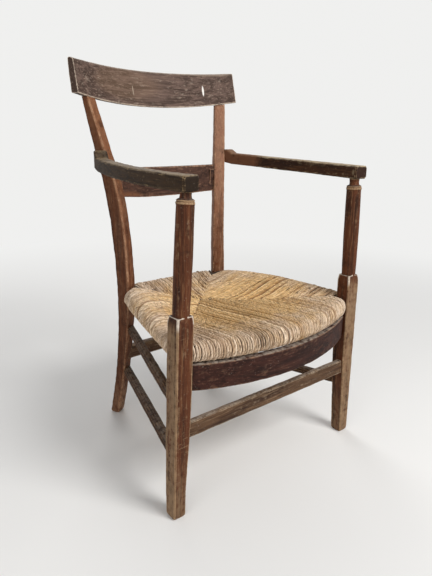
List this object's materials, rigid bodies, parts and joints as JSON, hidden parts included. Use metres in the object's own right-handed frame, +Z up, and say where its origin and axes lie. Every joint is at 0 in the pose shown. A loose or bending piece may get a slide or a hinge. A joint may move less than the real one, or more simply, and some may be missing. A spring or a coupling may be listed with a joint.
{
  "type": "rush-seat armchair",
  "caption": "Low open armchair of worn wood: turned arm posts, splayed rear posts, curved crest and back rail, bowed apron and a sagging hand-woven rush seat.",
  "frame": {"origin": "bottom centre of the bounding box, on the floor", "axes": "+Z up, -Y the way a sitter faces, +X to the chair's right in the view from the front; the plane X = 0 is the middle of the chair"},
  "size_m": [0.5498, 0.5602, 0.8974],
  "materials": {
    "post_wood": "worn, dusty, edges rubbed pale",
    "stile_wood": "worn reddish brown with streaks",
    "back_wood": "worn grey brown, edges rubbed pale",
    "arm_wood": "dark grey brown, top rubbed pale",
    "apron_wood": "dark purplish brown, top edge rubbed pale",
    "stretcher_wood": "worn tan",
    "hidden_wood": "bare, unfinished",
    "rush": "dry twisted rush, bleached and frayed"
  },
  "bodies": {
    "root": {"front_leg_left": "post_wood", "front_leg_right": "post_wood", "rear_leg_left": "stile_wood", "rear_leg_right": "stile_wood", "crest_rail": "back_wood", "back_rail": "back_wood", "arm_left": "arm_wood", "arm_right": "arm_wood", "front_apron": "apron_wood", "front_stretcher": "stretcher_wood", "rear_stretcher": "stretcher_wood", "side_stretcher_lower_left": "stretcher_wood", "side_stretcher_lower_right": "stretcher_wood", "side_stretcher_upper_left": "stretcher_wood", "side_stretcher_upper_right": "stretcher_wood", "seat_rail_front": "hidden_wood", "seat_rail_rear": "hidden_wood", "seat_rail_left": "hidden_wood", "seat_rail_right": "hidden_wood", "rush_seat": "rush"}
  },
  "joints": []
}
